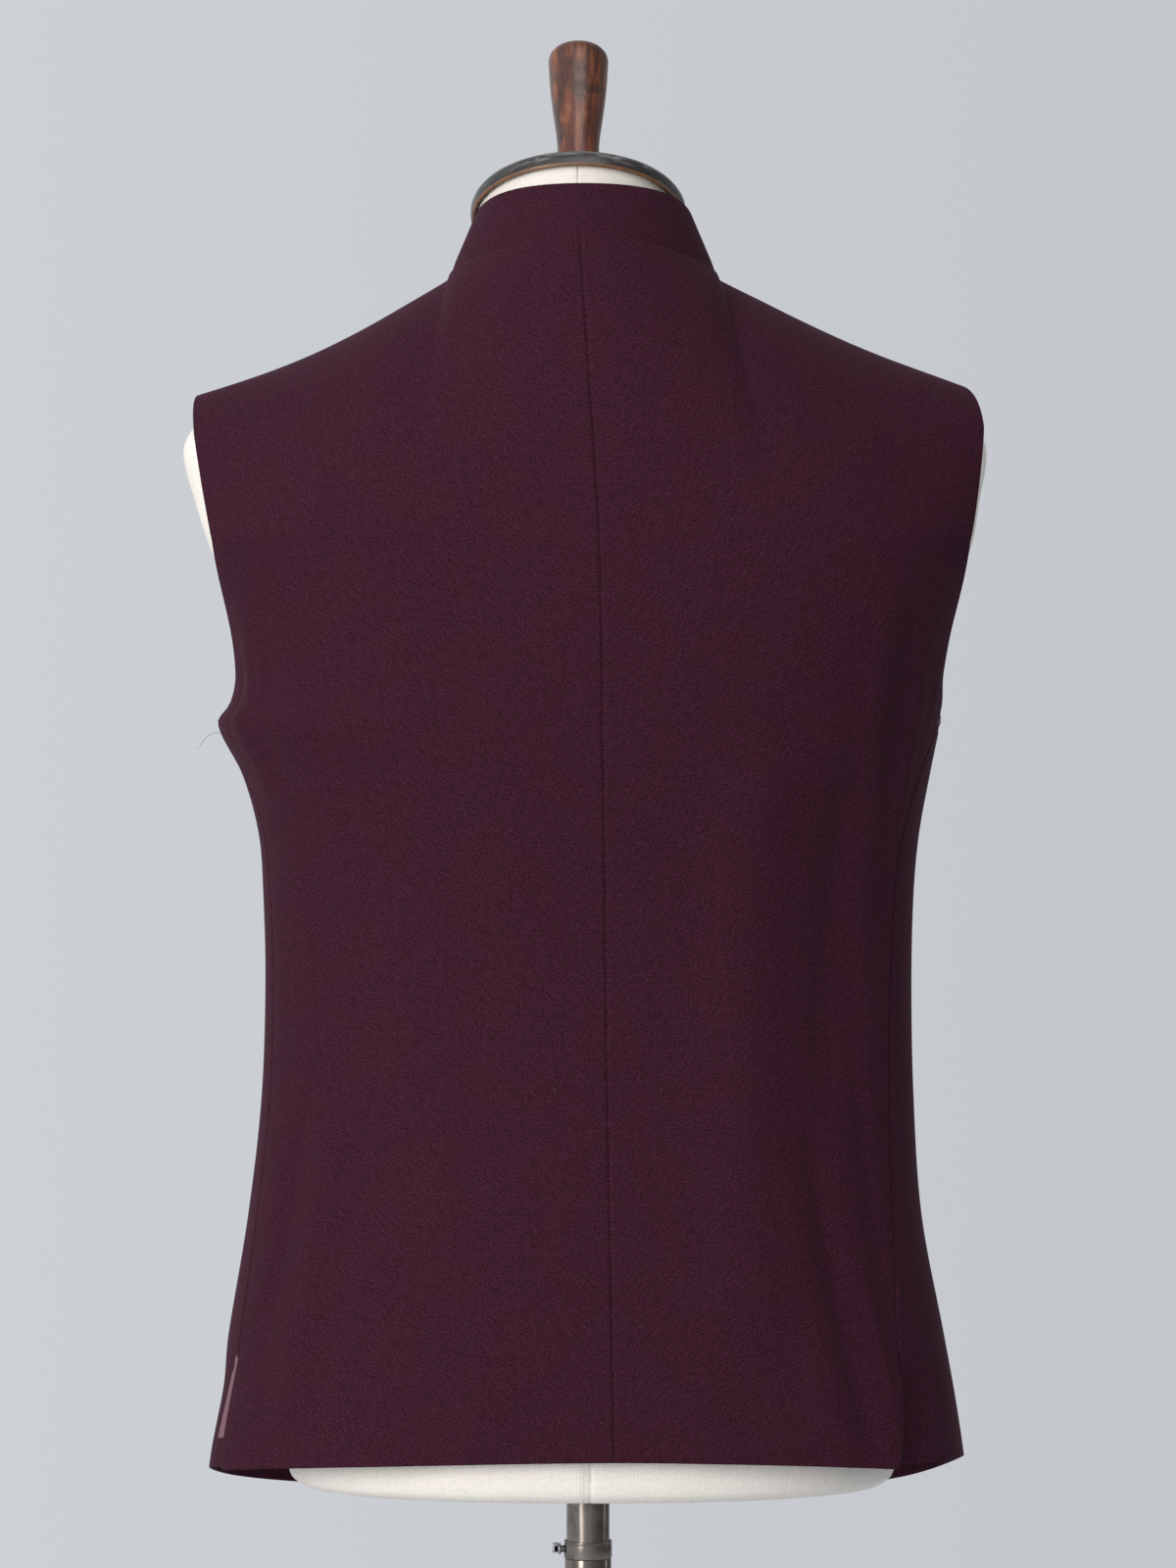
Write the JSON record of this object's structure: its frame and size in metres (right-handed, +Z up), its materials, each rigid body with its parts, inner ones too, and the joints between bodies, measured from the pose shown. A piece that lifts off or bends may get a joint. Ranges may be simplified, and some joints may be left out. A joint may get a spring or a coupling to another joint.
{
  "type": "wedding waistcoat on a dress form",
  "caption": "Sleeveless band-collar waistcoat in wine suiting, buttoned over a canvas dress form on a height-adjustable pole and round base.",
  "frame": {"origin": "centre of the base's underside, on the floor", "axes": "+Z up along the pole, -Y towards the front of the waistcoat, +X towards the wearer's left"},
  "size_m": [0.4535, 0.36, 1.4139],
  "materials": {
    "suiting": "fine wine-coloured wool-blend twill, matt",
    "lining": "mauve satin lining",
    "button": "dark wine two-part buttons, semi-matt",
    "canvas": "cream cotton canvas, plain weave",
    "cap_wood": "dark stained turned wood, worn and scuffed",
    "finial_wood": "varnished reddish-brown turned wood",
    "steel": "polished steel tube",
    "screw_steel": "plated steel screw",
    "iron": "black enamelled cast iron"
  },
  "bodies": {
    "stand": {"base_plate": "iron", "pole_outer": "steel", "clamp_ring": "steel"},
    "screw": {"thumb_screw": "screw_steel"},
    "mast": {"pole_inner": "steel"},
    "figure": {"torso": "canvas", "neck_cap": "cap_wood", "finial": "finial_wood", "back_left": "suiting", "back_right": "suiting", "front_left": "suiting", "front_right": "suiting", "collar": "suiting", "vent_lining_left": "lining", "button_1": "button", "button_2": "button", "button_3": "button", "button_4": "button", "button_5": "button"}
  },
  "joints": [
    {"name": "height_slide", "type": "slide", "parent": "stand", "child": "mast", "axis": [0, 0, 1], "range_m": [-0.02, 0.23]},
    {"name": "figure_swivel", "type": "hinge", "parent": "mast", "child": "figure", "pos_m": [0, 0, 0.6], "axis": [0, 0, 1], "continuous": true},
    {"name": "screw_turn", "type": "hinge", "parent": "stand", "child": "screw", "pos_m": [0.016, 0, 0.561], "axis": [1, 0, 0], "range_deg": [-90, 90]}
  ]
}
